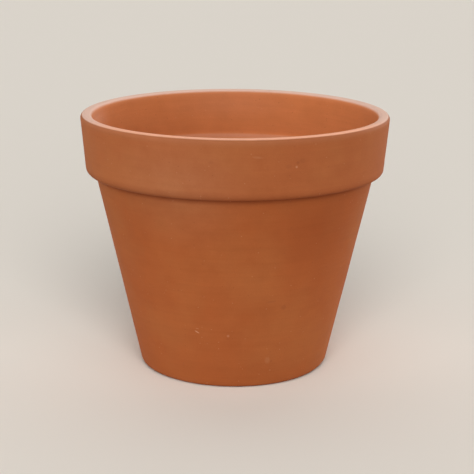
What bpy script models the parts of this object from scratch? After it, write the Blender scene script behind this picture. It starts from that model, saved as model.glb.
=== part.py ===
"""Terracotta flower pot: one turned and fired piece of clay.

Its axis is world Z, and it stands on the plane z = 0. Sizes are in metres.
"""

import math

import bpy
from mathutils import Vector

# Driving dimensions
HEIGHT = 0.200
RIM_R = 0.120             # outside of the lip
BAND_HEIGHT = 0.0456      # thick band, from the lip down to the step under it
BAND_TAPER = 0.0042       # how much narrower the band's lower edge is than the lip
STEP_WIDTH = 0.007        # how far the band stands out from the wall under it
BASE_R = 0.0737
LIP_THICKNESS = 0.0098
BAND_THICKNESS = 0.0080   # at the band's lower edge
WALL_THICKNESS = 0.0080   # at the top of the wall, measured level
FOOT_THICKNESS = 0.0085   # at the bottom of the wall, measured level
FLOOR_THICKNESS = 0.010

# The ledge inside, where the bore narrows behind the band
LEDGE_DEPTH = 0.0372      # from the lip down to the ledge's outer corner
LEDGE_DROP = 0.0024       # how far the ledge falls towards the axis

# Underside
DRAIN_R = 0.013
FOOT_RING_INNER_R = 0.058
RECESS_DEPTH = 0.002      # hollow inside the foot ring
RECESS_SLOPE = 0.002      # how much narrower the hollow is at its top

# Roundings of the corners
LIP_OUTER_ROUND = 0.0030
LIP_INNER_ROUND = 0.0035
BAND_EDGE_ROUND = 0.0036
STEP_FILLET = 0.0018
BASE_ROUND = 0.0040
FOOT_RING_ROUND = 0.0006
DRAIN_ROUND = 0.0015
FLOOR_FILLET = 0.0090
LEDGE_ROUND = 0.0030
LEDGE_FILLET = 0.0030

STEPS = 72                # facets round the axis
ARC_PIECE = math.radians(30)

CLAY_COLOR = (0.352, 0.098, 0.032, 1.0)
CLAY_ROUGHNESS = 0.85


def clear_scene():
    for item in list(bpy.data.objects):
        bpy.data.objects.remove(item, do_unlink=True)


def new_collection(name):
    collection = bpy.data.collections.new(name)
    bpy.context.scene.collection.children.link(collection)
    return collection


def plain_material(name, color, roughness, metallic):
    material = bpy.data.materials.new(name)
    material.use_nodes = True
    shader = material.node_tree.nodes["Principled BSDF"]
    shader.inputs["Base Color"].default_value = color
    shader.inputs["Roughness"].default_value = roughness
    shader.inputs["Metallic"].default_value = metallic
    material.diffuse_color = color
    return material


def outside_radius(z):
    """Radius of the tapered wall below the band, at the height z."""
    top_z = HEIGHT - BAND_HEIGHT
    top_r = RIM_R - BAND_TAPER - STEP_WIDTH
    return BASE_R + (top_r - BASE_R) * z / top_z


def corners():
    """The section's corners with their roundings, down the outside and back up the inside."""
    step_z = HEIGHT - BAND_HEIGHT
    ledge_z = HEIGHT - LEDGE_DEPTH
    ledge_lip_z = ledge_z - LEDGE_DROP
    band_r = RIM_R - BAND_TAPER
    recess_r = FOOT_RING_INNER_R - RECESS_SLOPE
    return [
        (RIM_R, HEIGHT, LIP_OUTER_ROUND),
        (band_r, step_z, BAND_EDGE_ROUND),
        (band_r - STEP_WIDTH, step_z, STEP_FILLET),
        (BASE_R, 0, BASE_ROUND),
        (FOOT_RING_INNER_R, 0, FOOT_RING_ROUND),
        (recess_r, RECESS_DEPTH, FOOT_RING_ROUND),
        (DRAIN_R, RECESS_DEPTH, DRAIN_ROUND),
        (DRAIN_R, FLOOR_THICKNESS, DRAIN_ROUND),
        (outside_radius(FLOOR_THICKNESS) - FOOT_THICKNESS, FLOOR_THICKNESS, FLOOR_FILLET),
        (outside_radius(ledge_lip_z) - WALL_THICKNESS, ledge_lip_z, LEDGE_ROUND),
        (band_r - BAND_THICKNESS, ledge_z, LEDGE_FILLET),
        (RIM_R - LIP_THICKNESS, HEIGHT, LIP_INNER_ROUND),
    ]


def rounded_corner(before, corner, after, radius):
    """Points along the arc that rounds a corner between two straight sides."""
    to_before = (before - corner).normalized()
    to_after = (after - corner).normalized()
    half_angle = to_before.angle(to_after) / 2
    centre = corner + (to_before + to_after).normalized() * radius / math.sin(half_angle)
    start = corner + to_before * radius / math.tan(half_angle) - centre
    sweep = start.angle_signed(corner + to_after * radius / math.tan(half_angle) - centre)
    pieces = max(1, math.ceil(abs(sweep) / ARC_PIECE))
    points = []
    for i in range(pieces + 1):
        turn = -sweep * i / pieces
        points.append(centre + Vector((
            start.x * math.cos(turn) - start.y * math.sin(turn),
            start.x * math.sin(turn) + start.y * math.cos(turn),
        )))
    return points


def section():
    """The closed section of the clay as points (radius, height)."""
    plan = corners()
    places = [Vector((radius, height)) for radius, height, _ in plan]
    roundings = [rounding for _, _, rounding in plan]
    points = []
    for i, rounding in enumerate(roundings):
        after = places[(i + 1) % len(places)]
        points.extend(rounded_corner(places[i - 1], places[i], after, rounding))
    return points


def turned(name, points, material, collection):
    """A solid turned about world Z from a closed section."""
    mesh = bpy.data.meshes.new(name)
    count = len(points)
    edges = [(i, (i + 1) % count) for i in range(count)]
    mesh.from_pydata([(p.x, 0, p.y) for p in points], edges, [])
    mesh.materials.append(material)
    solid = bpy.data.objects.new(name, mesh)
    collection.objects.link(solid)
    screw = solid.modifiers.new("turn", "SCREW")
    screw.axis = "Z"
    screw.angle = math.tau
    screw.steps = STEPS
    screw.render_steps = STEPS
    screw.use_merge_vertices = True
    screw.merge_threshold = 0.00001
    screw.use_smooth_shade = True
    return solid


def main():
    clear_scene()
    pot_parts = new_collection("terracotta_pot")
    clay = plain_material("terracotta", CLAY_COLOR, CLAY_ROUGHNESS, 0.0)
    turned("pot", section(), clay, pot_parts)


main()
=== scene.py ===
"""The finished look of the terracotta flower pot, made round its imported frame. Sizes are in metres."""

import math

import bmesh
import bpy
from mathutils import Matrix, Vector, noise


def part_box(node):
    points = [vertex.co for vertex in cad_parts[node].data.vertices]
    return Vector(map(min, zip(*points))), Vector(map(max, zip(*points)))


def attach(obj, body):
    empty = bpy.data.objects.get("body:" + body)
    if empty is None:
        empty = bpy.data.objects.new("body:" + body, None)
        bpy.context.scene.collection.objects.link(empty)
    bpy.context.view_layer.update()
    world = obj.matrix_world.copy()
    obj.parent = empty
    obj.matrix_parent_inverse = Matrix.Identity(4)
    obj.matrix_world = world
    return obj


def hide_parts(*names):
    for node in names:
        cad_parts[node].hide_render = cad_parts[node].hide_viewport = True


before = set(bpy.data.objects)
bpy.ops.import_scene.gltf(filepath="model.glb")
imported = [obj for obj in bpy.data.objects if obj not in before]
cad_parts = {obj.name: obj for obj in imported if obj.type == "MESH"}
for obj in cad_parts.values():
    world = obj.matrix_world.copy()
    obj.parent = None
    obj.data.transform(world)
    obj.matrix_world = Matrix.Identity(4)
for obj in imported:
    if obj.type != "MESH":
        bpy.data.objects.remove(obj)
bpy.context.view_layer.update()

# The pot's section, as its CAD solid has it
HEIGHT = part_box("pot")[1].z
RIM_R = 0.120
BAND_HEIGHT = 0.0456
STEP_HEIGHT = HEIGHT - BAND_HEIGHT
BAND_TAPER = 0.0042
STEP_WIDTH = 0.007
BASE_R = 0.0737
LIP_THICKNESS = 0.0098
BAND_THICKNESS = 0.0080
WALL_THICKNESS = 0.0080
FOOT_THICKNESS = 0.0085
FLOOR_THICKNESS = 0.010
LEDGE_DEPTH = 0.0372
LEDGE_DROP = 0.0024
DRAIN_R = 0.013
FOOT_RING_INNER_R = 0.058
RECESS_DEPTH = 0.002
RECESS_SLOPE = 0.002

# Roundings of the section's corners
LIP_OUTER_ROUND = 0.0030
LIP_INNER_ROUND = 0.0035
BAND_EDGE_ROUND = 0.0018  # on its sharpest side
STEP_FILLET = 0.0018
BASE_ROUND = 0.0040
FOOT_RING_ROUND = 0.0006
DRAIN_LOWER_ROUND = 0.0014
DRAIN_UPPER_ROUND = 0.0016
FLOOR_FILLET = 0.0090
LEDGE_ROUND = 0.0030
LEDGE_FILLET = 0.0030

# Fineness of the mesh
STEPS = 256               # faces round the axis
FINE = 0.0017             # longest face along the section on the walls
COARSE = 0.0040           # and on the underside and the floor
ARC_PIECES = 7            # faces round each corner
SMALL_ARC_PIECES = 4      # and round a corner under a millimetre
SMALL_ARC = 0.001
FIRST_INNER_CORNER = 7    # corners from this one on are inside the pot

# How far from the step's inner corner the painted shade spreads
CREASE_DOWN = 0.0050      # down the wall
CREASE_UP = 0.0090        # over the band's lower edge
CREASE_FULL = 0.0030      # where on the band's edge it is still at its darkest

# The painted contact shadow round the foot's lower edge
FOOT_LINE_IN = 0.0020     # how far inside the base's radius it runs
FOOT_LINE_REACH = 0.0026  # how far to each side of it the clay is darker

# Unevenness of the clay. It stays inside the CAD solid's box.
OUT_OF_ROUND = 0.0016     # share of the radius
OUT_OF_ROUND_ANGLE = 0.5  # where the pot is widest, in radians
STEP_TILT = 0.0005        # how far the band's lower edge runs off level
LIP_SAG = 0.0005          # how much lower the lip is at its sides than front and back
LIP_DRIFT = 0.0002        # most that the lip wanders down on its way round
LEDGE_DRIFT = 0.0006      # most that the ledge wanders up
FOOT_DRIFT = 0.0006       # most that the foot's rounding grows
FOOT_WEAR = 0.0018        # how much rounder the foot's edge is on its worn side
FOOT_WEAR_ANGLE = math.radians(-12)
BAND_WEAR = 0.0034        # how much rounder the band's lower edge is on its worn side
BAND_WEAR_ANGLE = math.radians(235)
LUMP_SIZE = 0.045
LUMP_DEPTH = 0.00025
RING_PITCH = 0.0035       # between the lines left by turning
OUTER_RING_DEPTH = 0.00005
INNER_RING_DEPTH = 0.00014

# The small knock on the band
DENT_ANGLE = math.radians(-70.2)
DENT_RADIUS = 0.118
DENT_HEIGHT = 0.1805
DENT_REACH = 0.0055
DENT_DEPTH = 0.0005


def drift(angle, seed, most):
    """A smooth value from 0 to most that wanders round the axis and meets itself."""
    place = Vector((1.3 * math.cos(angle), 1.3 * math.sin(angle), seed))
    return most * min(1.0, max(0.0, 0.5 + 0.8 * noise.noise(place)))


def outside_radius(z):
    """Radius of the tapered wall below the band, at the height z."""
    top_r = RIM_R - BAND_TAPER - STEP_WIDTH
    return BASE_R + (top_r - BASE_R) * z / STEP_HEIGHT


def corners(angle):
    """The section's corners at an angle: radius, height, rounding, longest face on the next side."""
    step_z = STEP_HEIGHT + STEP_TILT * math.cos(angle)
    ledge_z = HEIGHT - LEDGE_DEPTH + drift(angle, 7.7, LEDGE_DRIFT)
    ledge_lip_z = ledge_z - LEDGE_DROP
    lip_z = HEIGHT - drift(angle, 12.4, LIP_DRIFT) - LIP_SAG * math.cos(angle) ** 2
    band_r = RIM_R - BAND_TAPER
    band_round = BAND_EDGE_ROUND + BAND_WEAR * (0.5 + 0.5 * math.cos(angle - BAND_WEAR_ANGLE))
    recess_r = FOOT_RING_INNER_R - RECESS_SLOPE
    foot_round = BASE_ROUND + drift(angle, 5.2, FOOT_DRIFT)
    foot_round += FOOT_WEAR * max(0.0, math.cos(angle - FOOT_WEAR_ANGLE)) ** 6
    return [
        (RIM_R, lip_z, LIP_OUTER_ROUND, FINE),
        (band_r, step_z, band_round, FINE),
        (band_r - STEP_WIDTH, step_z, STEP_FILLET, FINE),
        (BASE_R, 0, foot_round, COARSE),
        (FOOT_RING_INNER_R, 0, FOOT_RING_ROUND, COARSE),
        (recess_r, RECESS_DEPTH, FOOT_RING_ROUND, COARSE),
        (DRAIN_R, RECESS_DEPTH, DRAIN_LOWER_ROUND, FINE),
        (DRAIN_R, FLOOR_THICKNESS, DRAIN_UPPER_ROUND, COARSE),
        (outside_radius(FLOOR_THICKNESS) - FOOT_THICKNESS, FLOOR_THICKNESS, FLOOR_FILLET, FINE),
        (outside_radius(ledge_lip_z) - WALL_THICKNESS, ledge_lip_z, LEDGE_ROUND, FINE),
        (band_r - BAND_THICKNESS, ledge_z, LEDGE_FILLET, FINE),
        (RIM_R - LIP_THICKNESS, lip_z, LIP_INNER_ROUND, FINE),
    ]


def arc_pieces(rounding):
    """How many faces a rounding gets."""
    return SMALL_ARC_PIECES if rounding < SMALL_ARC else ARC_PIECES


def rounded_corner(before, corner, after, radius):
    """Points along the arc that rounds a corner between two straight sides."""
    to_before = (before - corner).normalized()
    to_after = (after - corner).normalized()
    half_angle = to_before.angle(to_after) / 2
    centre = corner + (to_before + to_after).normalized() * radius / math.sin(half_angle)
    start = corner + to_before * radius / math.tan(half_angle) - centre
    sweep = start.angle_signed(corner + to_after * radius / math.tan(half_angle) - centre)
    pieces = arc_pieces(radius)
    points = []
    for i in range(pieces + 1):
        turn = -sweep * i / pieces
        points.append(centre + Vector((
            start.x * math.cos(turn) - start.y * math.sin(turn),
            start.x * math.sin(turn) + start.y * math.cos(turn),
        )))
    return points


def side_pieces():
    """How many faces each straight side of the section gets, the same at every angle."""
    plan = corners(0)
    counts = []
    for i, (r, z, _, longest) in enumerate(plan):
        next_r, next_z = plan[(i + 1) % len(plan)][:2]
        counts.append(max(1, math.ceil(math.hypot(next_r - r, next_z - z) / longest)))
    return counts


def inside_share(counts):
    """For each point of the section, 1 on the inside of the pot and 0 on its outside."""
    shares = []
    for i, (_, _, rounding, _) in enumerate(corners(0)):
        points_here = arc_pieces(rounding) + counts[i]
        shares.extend([float(i >= FIRST_INNER_CORNER)] * points_here)
    return shares


def crease_shade_share(counts):
    """For each point of the section, how near it is to the corner under the band, or to the foot's edge, for
    the painted shade there.
    """
    step_r, step_z = corners(0)[2][:2]
    shares = []
    for point in section(0, counts):
        away = math.hypot(point.x - step_r, point.y - step_z)
        if point.y > step_z and point.x > step_r:
            share = (CREASE_UP - away) / (CREASE_UP - CREASE_FULL)
        else:
            share = 1 - away / CREASE_DOWN
        from_foot = math.hypot(point.x - BASE_R + FOOT_LINE_IN, point.y)
        share = max(share, 1 - from_foot / FOOT_LINE_REACH)
        shares.append(min(1.0, max(0.0, share)))
    return shares


def add_share(mesh, name, values):
    """One value for each vertex, which the material reads by its name."""
    share = mesh.attributes.new(name, "FLOAT", "POINT")
    share.data.foreach_set("value", values)


def section(angle, counts):
    """The closed section at an angle round the axis, down the outside and back up the inside."""
    plan = corners(angle)
    places = [Vector((r, z)) for r, z, _, _ in plan]
    arcs = []
    for i, (_, _, rounding, _) in enumerate(plan):
        arcs.append(rounded_corner(places[i - 1], places[i], places[(i + 1) % len(places)], rounding))
    points = []
    for i, arc in enumerate(arcs):
        points.extend(arc)
        following = arcs[(i + 1) % len(arcs)][0]
        for k in range(1, counts[i]):
            points.append(arc[-1].lerp(following, k / counts[i]))
    return points


def unevenness(place, normal, along):
    """How deep the clay's own unevenness cuts in at a place on the surface."""
    level = max(0.0, abs(normal.z) - 0.6) / 0.4
    inner = normal.x * place.x + normal.y * place.y < 0 and place.z > FLOOR_THICKNESS
    lump = LUMP_DEPTH * (0.5 + 0.5 * noise.noise(place / LUMP_SIZE + Vector((4.0, 9.0, 2.0))))
    ring = INNER_RING_DEPTH if inner else OUTER_RING_DEPTH
    around = Vector((place.x, place.y, 0)).normalized() * 0.7
    grooves = 0.5 + 0.5 * noise.noise(Vector((around.x, around.y, along / RING_PITCH)))
    grooves += 0.25 + 0.25 * noise.noise(Vector((around.y * 2, around.x * 2, along / RING_PITCH * 0.31)))
    dent_place = Vector((math.cos(DENT_ANGLE), math.sin(DENT_ANGLE), 0)) * DENT_RADIUS
    dent_place.z = DENT_HEIGHT
    away = (place - dent_place).length / DENT_REACH
    dent = DENT_DEPTH * max(0.0, 1 - away * away) ** 2
    return lump * (1 - level) + ring * grooves + dent


def clay_ring(angle, counts):
    """The section's places at an angle round the axis, with the clay's unevenness cut in."""
    squeeze = 1 - OUT_OF_ROUND / 2 * (1 - math.cos(2 * (angle - OUT_OF_ROUND_ANGLE)))
    out = Vector((math.cos(angle), math.sin(angle), 0))
    points = section(angle, counts)
    travelled = 0.0
    ring = []
    for i, point in enumerate(points):
        following = points[(i + 1) % len(points)]
        along = following - points[i - 1]
        normal = Vector((-along.y, along.x)).normalized()
        place = out * point.x * squeeze + Vector((0, 0, point.y))
        facing = out * normal.x + Vector((0, 0, normal.y))
        ring.append(place - facing * unevenness(place, facing, travelled))
        travelled += (following - point).length
    return ring


def grid_faces(rings, width):
    """Four-sided faces between neighbouring rings, closed both ways round."""
    faces = []
    for i in range(rings):
        here = i * width
        there = (i + 1) % rings * width
        for j in range(width):
            k = (j + 1) % width
            faces.append((here + j, here + k, there + k, there + j))
    return faces


def clay_mesh(name):
    """The pot's whole surface: a turned grid with the unevenness of real clay."""
    counts = side_pieces()
    rings = [clay_ring(math.tau * i / STEPS, counts) for i in range(STEPS)]
    vertices = [tuple(place) for ring in rings for place in ring]
    mesh = bpy.data.meshes.new(name)
    mesh.from_pydata(vertices, [], grid_faces(STEPS, len(rings[0])))
    add_share(mesh, "inside", inside_share(counts) * STEPS)
    add_share(mesh, "crease_shade", crease_shade_share(counts) * STEPS)
    mesh.shade_smooth()
    return mesh


clay = bpy.data.objects.new("terracotta_pot", clay_mesh("terracotta_pot"))
bpy.context.scene.collection.objects.link(clay)


# Colours of the clay, linear
CLAY = (0.359, 0.0958, 0.0275, 1)
CLAY_OCHRE = (0.370, 0.1100, 0.0330, 1)
CLAY_RED = (0.300, 0.0680, 0.0180, 1)
# The inside's clay, painted lighter for the light it catches
CLAY_INSIDE_LIT = (0.560, 0.183, 0.0635, 1)
# Painted shade for the corner under the band and the foot's lower edge
CREASE_SHADE_COLOR = (0.198, 0.040, 0.012, 1)
BLOOM = (0.400, 0.210, 0.118, 1)
# Pale dust, which also stands for the painted sheen and top light on the level lip and ledge, and is warmer
# at the lip's front
DUST_AND_SHEEN = (0.77, 0.505, 0.400, 1)
DUST_AND_SHEEN_WARM = (0.90, 0.450, 0.290, 1)
# Paler clay below the lip: wear, with painted sheen on the lip's rounding; the inside's copy is also painted
# lighter
WEAR_AND_SHEEN = (0.400, 0.170, 0.095, 1)
WEAR_AND_SHEEN_INSIDE_LIT = (0.640, 0.270, 0.135, 1)
# Colours of the sand grains, also used for the dent's painted highlight and shade
PALE_SAND_AND_HIGHLIGHT = (0.62, 0.33, 0.20, 1)
DARK_SAND_AND_SHADE = (0.16, 0.050, 0.024, 1)

# Sizes of the clay's noises
BLOTCH_SIZE = 0.060
FLUSH_SIZE = 0.026
MOTTLE_SIZE = 0.012
STREAK_SIZE = 0.070       # the streaks' length; they are 22 times thinner
GRAIN_SIZE = 0.0011
RELIEF_DEPTH = 0.00025

BAND_MIDDLE_R = 0.118     # where patches on the band are centred
PATCH_DEPTH = 0.004       # least reach of a patch into the clay

# Wide soft patches of tone: angle in degrees, height, width, height of the patch
DARK_RED_PATCH = (-54, 0.128, 0.105, 0.110)
PALE_PATCH = (-114, 0.160, 0.140, 0.120)

# The same on the inside, each with its share of dust
INNER_BLOOMS = [
    ((172, 0.188, 0.080, 0.034), 0.20),
    ((90, 0.190, 0.150, 0.040), 0.05),
]

# Shares of each tone where it is strongest
FLUSH_SHARE = 0.22
INNER_FLUSH_SHARE = 0.14
DARK_RED_SHARE = 0.65
BAND_BLOOM_SHARE = 0.08
PALE_SHARE = 0.17
CREASE_SHADE_SHARE = 0.85
WEAR_AND_SHEEN_SHARE = 0.24
LIP_DUST_AND_SHEEN_SHARE = 0.90
LEDGE_DUST_AND_LIGHT_SHARE = 0.21

# Heights between which the ledge's dust and painted top light fade in
LEDGE_DUST_AND_LIGHT_FROM = 0.140
LEDGE_DUST_AND_LIGHT_FULL = 0.155

# Sand: cell size, share of the cells with a grain, seed, strength and colour
SANDS = [
    (0.0016, 0.016, 3.7, 0.35, DARK_SAND_AND_SHADE),
    (0.0014, 0.014, 8.2, 0.28, PALE_SAND_AND_HIGHLIGHT),
]

# Small marks on the outside, some of them the dent's painted shade and highlight: angle, height, width,
# height of the mark, lean, share and colour
MARKS = [
    (-111.2, 0.0464, 0.0050, 0.0014, -28, 0.55, PALE_SAND_AND_HIGHLIGHT),
    (-110.9, 0.0493, 0.0036, 0.0009, -10, 0.25, PALE_SAND_AND_HIGHLIGHT),
    (-95.0, 0.0446, 0.0026, 0.0028, 0, 0.26, PALE_SAND_AND_HIGHLIGHT),
    (-95.2, 0.0420, 0.0034, 0.0016, 0, 0.14, DARK_SAND_AND_SHADE),
    (-73.2, 0.0226, 0.0054, 0.0080, 12, 0.10, PALE_SAND_AND_HIGHLIGHT),
    (-70.9, 0.0214, 0.0024, 0.0024, 0, 0.22, DARK_SAND_AND_SHADE),
    (-74.0, 0.0722, 0.0110, 0.0022, 3, 0.16, DARK_SAND_AND_SHADE),
    (-67.4, 0.0663, 0.0060, 0.0056, 0, 0.20, DARK_SAND_AND_SHADE),
    # The next four paint the dent's shade above and beside it, and a painted highlight below it
    (-70.4, 0.1788, 0.0022, 0.0024, 40, 0.34, PALE_SAND_AND_HIGHLIGHT),
    (-70.0, 0.1818, 0.0036, 0.0034, 0, 0.24, DARK_SAND_AND_SHADE),
    (-68.2, 0.1832, 0.0060, 0.0048, 0, 0.13, DARK_SAND_AND_SHADE),
    (-73.4, 0.1796, 0.0066, 0.0042, 0, 0.12, DARK_SAND_AND_SHADE),
    (-100.3, 0.1832, 0.0050, 0.0030, 0, 0.12, DARK_SAND_AND_SHADE),
    (-84.5, 0.1870, 0.0100, 0.0022, -6, 0.10, PALE_SAND_AND_HIGHLIGHT),
]


def add(tree, kind, inputs, **settings):
    """A new node with its settings, and its inputs set or linked."""
    node = tree.nodes.new("ShaderNode" + kind)
    for key, value in settings.items():
        setattr(node, key, value)
    for key, value in inputs.items():
        if isinstance(value, bpy.types.NodeSocket):
            tree.links.new(value, node.inputs[key])
        else:
            node.inputs[key].default_value = value
    return node


def ramp(tree, value, low, high, out_low=0.0, out_high=1.0):
    """The value's way from low to high, eased, as a way from out_low to out_high."""
    inputs = {"Value": value, 1: low, 2: high, 3: out_low, 4: out_high}
    return add(tree, "MapRange", inputs, interpolation_type="SMOOTHSTEP").outputs[0]


def product(tree, a, b):
    return add(tree, "Math", {0: a, 1: b}, operation="MULTIPLY").outputs[0]


def total(tree, a, b):
    return add(tree, "Math", {0: a, 1: b}, operation="ADD").outputs[0]


def mix(tree, share, a, b, blend="MIX"):
    return add(tree, "Mix", {0: share, 6: a, 7: b}, data_type="RGBA", blend_type=blend).outputs[2]


def cloud(tree, place, size, detail=3.0, roughness=0.5, stretch=(1, 1, 1)):
    """Soft noise about 0.5, of a size in metres, stretched along the axes."""
    scaled = add(tree, "Mapping", {"Vector": place, "Scale": tuple(s / size for s in stretch)})
    inputs = {"Vector": scaled.outputs[0], "Scale": 1.0, "Detail": detail, "Roughness": roughness}
    return add(tree, "TexNoise", inputs).outputs[0]


def patch(tree, place, angle, height, width, tall, lean=0, sharp=0.4):
    """A mask of 1 in the middle of a patch of the clay, at an angle in degrees round the axis."""
    turn = math.radians(angle)
    radius = BAND_MIDDLE_R if height > STEP_HEIGHT else outside_radius(height)
    centre = (radius * math.cos(turn), radius * math.sin(turn), height)
    inputs = {"Vector": place, "Location": centre, "Rotation": (math.radians(lean), 0, turn)}
    inputs["Scale"] = (max(PATCH_DEPTH, width / 2), width / 2, tall / 2)
    local = add(tree, "Mapping", inputs, vector_type="TEXTURE").outputs[0]
    away = add(tree, "VectorMath", {0: local}, operation="LENGTH").outputs["Value"]
    return ramp(tree, away, 1.0, sharp)


def specks(tree, place, size, share, seed):
    """Grains of sand: the cells of a fine pattern whose own random value is below a share."""
    shifted = add(tree, "Mapping", {"Vector": place, "Location": (seed, seed, seed)})
    cells = add(tree, "TexVoronoi", {"Vector": shifted.outputs[0], "Scale": 1 / size})
    parts = add(tree, "SeparateColor", {0: cells.outputs["Color"]})
    chosen = ramp(tree, parts.outputs[0], share, share * 0.8)
    near = ramp(tree, cells.outputs["Distance"], 0.34, 0.18)
    return product(tree, chosen, near)


class ClayFields:
    """What the clay's colour depends on: the place on the pot, and noises of several sizes."""

    def __init__(self, tree):
        normal = add(tree, "NewGeometry", {}).outputs["Normal"]
        self.place = add(tree, "TexCoord", {}).outputs["Object"]
        self.y = add(tree, "SeparateXYZ", {0: self.place}).outputs["Y"]
        self.height = add(tree, "SeparateXYZ", {0: self.place}).outputs["Z"]
        self.facing_up = add(tree, "SeparateXYZ", {0: normal}).outputs["Z"]
        self.inside = add(tree, "Attribute", {}, attribute_name="inside").outputs["Fac"]
        self.crease_shade = add(tree, "Attribute", {}, attribute_name="crease_shade").outputs["Fac"]
        self.band = ramp(tree, self.height, STEP_HEIGHT - 0.001, STEP_HEIGHT + 0.003)
        self.blotches = cloud(tree, self.place, BLOTCH_SIZE, detail=3)
        self.flush = cloud(tree, self.place, FLUSH_SIZE, detail=2, stretch=(1, 1, 1.3))
        self.mottle = cloud(tree, self.place, MOTTLE_SIZE, detail=4, roughness=0.6)
        self.streaks = cloud(tree, self.place, STREAK_SIZE, detail=5, roughness=0.65, stretch=(1, 1, 22))
        self.grain = cloud(tree, self.place, GRAIN_SIZE, detail=3, roughness=0.6)


def outside_color(tree, clay_at):
    """Clay tones of the outside: ochre and red blotches, a darker red patch on the wall, and a paler bloom.
    """
    color = mix(tree, ramp(tree, clay_at.blotches, 0.35, 0.70), CLAY, CLAY_OCHRE)
    color = mix(tree, ramp(tree, clay_at.flush, 0.45, 0.75, 0.0, FLUSH_SHARE), color, CLAY_RED)
    dark_red_patch = patch(tree, clay_at.place, *DARK_RED_PATCH, sharp=0.0)
    color = mix(tree, product(tree, dark_red_patch, DARK_RED_SHARE), color, CLAY_RED)
    pale_side = patch(tree, clay_at.place, *PALE_PATCH, sharp=0.0)
    bloom = product(tree, clay_at.band, BAND_BLOOM_SHARE)
    bloom = total(tree, bloom, product(tree, pale_side, PALE_SHARE))
    bloom = product(tree, bloom, ramp(tree, clay_at.mottle, 0.2, 0.8, 0.8, 1.2))
    return mix(tree, bloom, color, BLOOM)


def inside_color(tree, clay_at):
    """Clay tones of the inside: the same clay painted lighter for the light it catches, with two pale
    patches under the lip.
    """
    color = mix(tree, ramp(tree, clay_at.flush, 0.40, 0.75, 0.0, INNER_FLUSH_SHARE), CLAY_INSIDE_LIT, CLAY_OCHRE)
    for where, share in INNER_BLOOMS:
        bloom = patch(tree, clay_at.place, *where, sharp=0.0)
        color = mix(tree, product(tree, bloom, share), color, DUST_AND_SHEEN)
    return color


def shaded(tree, clay_at, color):
    """The colour darkened unevenly by the noises, with painted shade towards the foot and on the wall under
    the band.
    """
    shade = total(tree, product(tree, clay_at.mottle, 0.16), product(tree, clay_at.streaks, 0.14))
    shade = total(tree, shade, product(tree, clay_at.grain, 0.10))
    # Painted shade: darker towards the foot
    shade = total(tree, shade, ramp(tree, clay_at.height, 0.0, 0.030, 0.755, 0.80))
    # Painted shade on the wall under the band's overhang
    shade_below_band = ramp(tree, clay_at.height, 0.090, 0.130, 0.0, -0.045)
    on_wall = add(tree, "Math", {0: 1.0, 1: clay_at.band}, operation="SUBTRACT").outputs[0]
    shade = total(tree, shade, product(tree, shade_below_band, on_wall))
    grey = add(tree, "CombineColor", {0: shade, 1: shade, 2: shade}).outputs[0]
    return mix(tree, 1.0, color, grey, "MULTIPLY")


def dusted_and_sheened(tree, clay_at, color):
    """The colour worn paler below the lip with painted sheen on its rounding, and the level clay of the lip
    and ledge paler with dust, painted sheen and painted top light, warmer at the lip's front.
    """
    height = clay_at.height
    # Level clay facing up gets dust and a painted highlight from the top light
    outer_level = ramp(tree, clay_at.facing_up, 0.65, 0.97)
    inner_level = ramp(tree, clay_at.facing_up, 0.35, 0.95)
    level = mix(tree, clay_at.inside, outer_level, inner_level)
    lip = product(tree, level, ramp(tree, height, HEIGHT - 0.0060, HEIGHT - 0.0020))
    ledge = product(tree, level, ramp(tree, height, LEDGE_DUST_AND_LIGHT_FROM, LEDGE_DUST_AND_LIGHT_FULL))
    # Worn paler below the lip, with painted sheen on its rounding
    wear_and_sheen_below_lip = ramp(tree, height, HEIGHT - 0.007, HEIGHT - 0.001, 0.0, WEAR_AND_SHEEN_SHARE)
    color = mix(tree, wear_and_sheen_below_lip, color, mix(tree, clay_at.inside, WEAR_AND_SHEEN, WEAR_AND_SHEEN_INSIDE_LIT))
    dust_and_sheen = total(tree, product(tree, lip, LIP_DUST_AND_SHEEN_SHARE), product(tree, ledge, LEDGE_DUST_AND_LIGHT_SHARE))
    dust_and_sheen = product(tree, dust_and_sheen, ramp(tree, clay_at.mottle, 0.2, 0.8, 0.86, 1.12))
    dust_and_sheen_color = mix(tree, ramp(tree, clay_at.y, -0.025, -0.085), DUST_AND_SHEEN, DUST_AND_SHEEN_WARM)
    return mix(tree, dust_and_sheen, color, dust_and_sheen_color)


def marked(tree, clay_at, color):
    """The colour with scattered grains of sand and the small marks, among them the dent's painted shade and
    highlight.
    """
    for size, share, seed, strength, sand in SANDS:
        grains = specks(tree, clay_at.place, size, share, seed)
        color = mix(tree, product(tree, grains, strength), color, sand)
    for angle, height, width, tall, lean, share, mark in MARKS:
        mask = patch(tree, clay_at.place, angle, height, width, tall, lean)
        color = mix(tree, product(tree, mask, share), color, mark)
    return color


def clay_relief(tree, clay_at):
    """Fine grain and turning lines, too small to be in the mesh."""
    relief = total(tree, product(tree, clay_at.grain, 0.6), product(tree, clay_at.streaks, 1.2))
    inputs = {"Strength": 0.5, "Distance": RELIEF_DEPTH, "Height": relief}
    return add(tree, "Bump", inputs).outputs[0]


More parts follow.
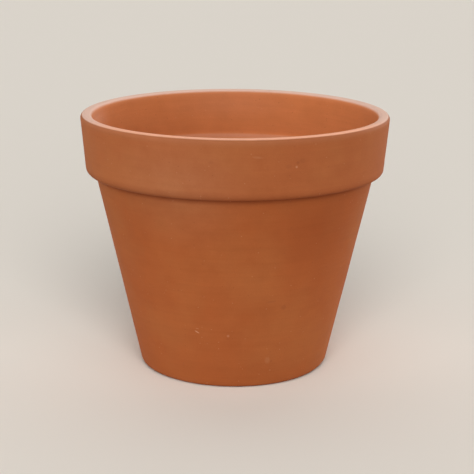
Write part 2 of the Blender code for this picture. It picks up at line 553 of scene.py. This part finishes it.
def clay_material():
    """Fired clay: blotches, turning streaks, sand, a lip and ledge paler with dust and painted sheen, a
    painted lighter inside, painted shade under the band and along the foot, and a few marks.
    """
    material = bpy.data.materials.new("fired_clay")
    material.use_nodes = True
    tree = material.node_tree
    shader = tree.nodes["Principled BSDF"]
    clay_at = ClayFields(tree)
    color = mix(tree, clay_at.inside, outside_color(tree, clay_at), inside_color(tree, clay_at))
    # Painted shade in the corner under the band, and a painted contact shadow along the foot's lower edge
    color = mix(tree, product(tree, clay_at.crease_shade, CREASE_SHADE_SHARE), color, CREASE_SHADE_COLOR)
    color = shaded(tree, clay_at, color)
    color = dusted_and_sheened(tree, clay_at, color)
    color = marked(tree, clay_at, color)
    roughness = ramp(tree, clay_at.mottle, 0.2, 0.8, 0.66, 0.80)
    tree.links.new(color, shader.inputs["Base Color"])
    tree.links.new(roughness, shader.inputs["Roughness"])
    tree.links.new(clay_relief(tree, clay_at), shader.inputs["Normal"])
    shader.inputs["IOR"].default_value = 1.45
    shader.inputs["Specular IOR Level"].default_value = 0.08
    return material


clay.data.materials.append(clay_material())
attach(clay, "root")
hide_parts("pot")

# Studio
FLOOR_SIZE = 24.0
FLOOR_DROP = 0.0003       # keeps the floor clear of the pot's foot
FLOOR_COLOR = (0.82, 0.765, 0.690, 1)
FLOOR_LIT_COLOR = (0.701, 0.651, 0.584, 1)


def studio_floor():
    """A plain matt floor, wide enough to fill the picture behind the pot."""
    mesh = bpy.data.meshes.new("floor")
    grid = bmesh.new()
    bmesh.ops.create_grid(grid, x_segments=1, y_segments=1, size=FLOOR_SIZE / 2)
    grid.to_mesh(mesh)
    grid.free()
    floor = bpy.data.objects.new("floor", mesh)
    floor.location.z = -FLOOR_DROP
    bpy.context.scene.collection.objects.link(floor)
    paint = bpy.data.materials.new("floor_paint")
    paint.use_nodes = True
    shader = paint.node_tree.nodes["Principled BSDF"]
    shader.inputs["Base Color"].default_value = FLOOR_COLOR
    shader.inputs["Roughness"].default_value = 1.0
    shader.inputs["Specular IOR Level"].default_value = 0.0
    mesh.materials.append(paint)
    return floor


def soft_sun(name, azimuth, elevation, spread, strength, subject):
    """A far, wide softbox on one object. Azimuth 0 is behind the camera, and positive is to its right."""
    lamp = bpy.data.lights.new(name, "SUN")
    lamp.angle = math.radians(spread)
    lamp.energy = math.pi * strength
    sun = bpy.data.objects.new(name, lamp)
    a, e = math.radians(azimuth), math.radians(elevation)
    towards = Vector((math.sin(a) * math.cos(e), -math.cos(a) * math.cos(e), math.sin(e)))
    sun.rotation_euler = towards.to_track_quat("Z", "Y").to_euler()
    bpy.context.scene.collection.objects.link(sun)
    receivers = bpy.data.collections.new(name + "_receivers")
    receivers.objects.link(subject)
    sun.light_linking.receiver_collection = receivers


def backdrop(color):
    """A plain surround in the lit floor's tone. Only the camera sees it, so it adds no light."""
    world = bpy.data.worlds.new("studio")
    world.use_nodes = True
    background = world.node_tree.nodes["Background"]
    background.inputs["Color"].default_value = color
    seen = add(world.node_tree, "LightPath", {}).outputs["Is Camera Ray"]
    world.node_tree.links.new(seen, background.inputs["Strength"])
    bpy.context.scene.world = world


# Softboxes: name, azimuth, elevation, spread in degrees, and strength
FLOOR_LIGHTS = [
    ("floor_front", 0, 22, 45, 1.00),
    ("floor_high", 0, 50, 60, 0.36),
    ("floor_back", 180, 60, 60, 0.235),
]
POT_LIGHTS = [
    ("left", -58, 18, 40, 0.15),
    ("front", 0, 18, 35, 0.38),
    ("far_left", -95, 18, 35, 0.16),
    ("far_right", 95, 18, 35, 0.29),
    ("back_left", -135, 18, 35, 0.19),
    ("back_right", 135, 18, 35, 0.59),
    ("front_high", 0, 40, 40, 0.30),
    ("left_high", -90, 65, 45, 0.20),
]

floor = studio_floor()
for softbox in FLOOR_LIGHTS:
    soft_sun(*softbox, floor)
for softbox in POT_LIGHTS:
    soft_sun(*softbox, clay)
backdrop(FLOOR_LIT_COLOR)

# Camera, as a person holds it a metre from the pot. Angles are in radians.
CAMERA_DISTANCE = 1.0872
CAMERA_HEIGHT = 0.3811
CAMERA_ASIDE = -0.0415
LENS = 107.66
PITCH = 0.2534
YAW = 0.0401
ROLL = 0.0077


def place_camera():
    """A camera without shift, turned right by the yaw, down by the pitch, and rolled a little."""
    lens = bpy.data.cameras.new("camera")
    lens.lens = LENS
    lens.sensor_width = 36
    camera = bpy.data.objects.new("camera", lens)
    turn = Matrix.Rotation(-YAW, 3, "Z")
    tilt = Matrix.Rotation(math.pi / 2 - PITCH, 3, "X")
    lean = Matrix.Rotation(ROLL, 3, "Z")
    camera.rotation_euler = (turn @ tilt @ lean).to_euler()
    camera.location = (CAMERA_ASIDE, -CAMERA_DISTANCE, CAMERA_HEIGHT)
    bpy.context.scene.collection.objects.link(camera)
    bpy.context.scene.camera = camera


place_camera()
bpy.context.scene.view_settings.view_transform = "Standard"
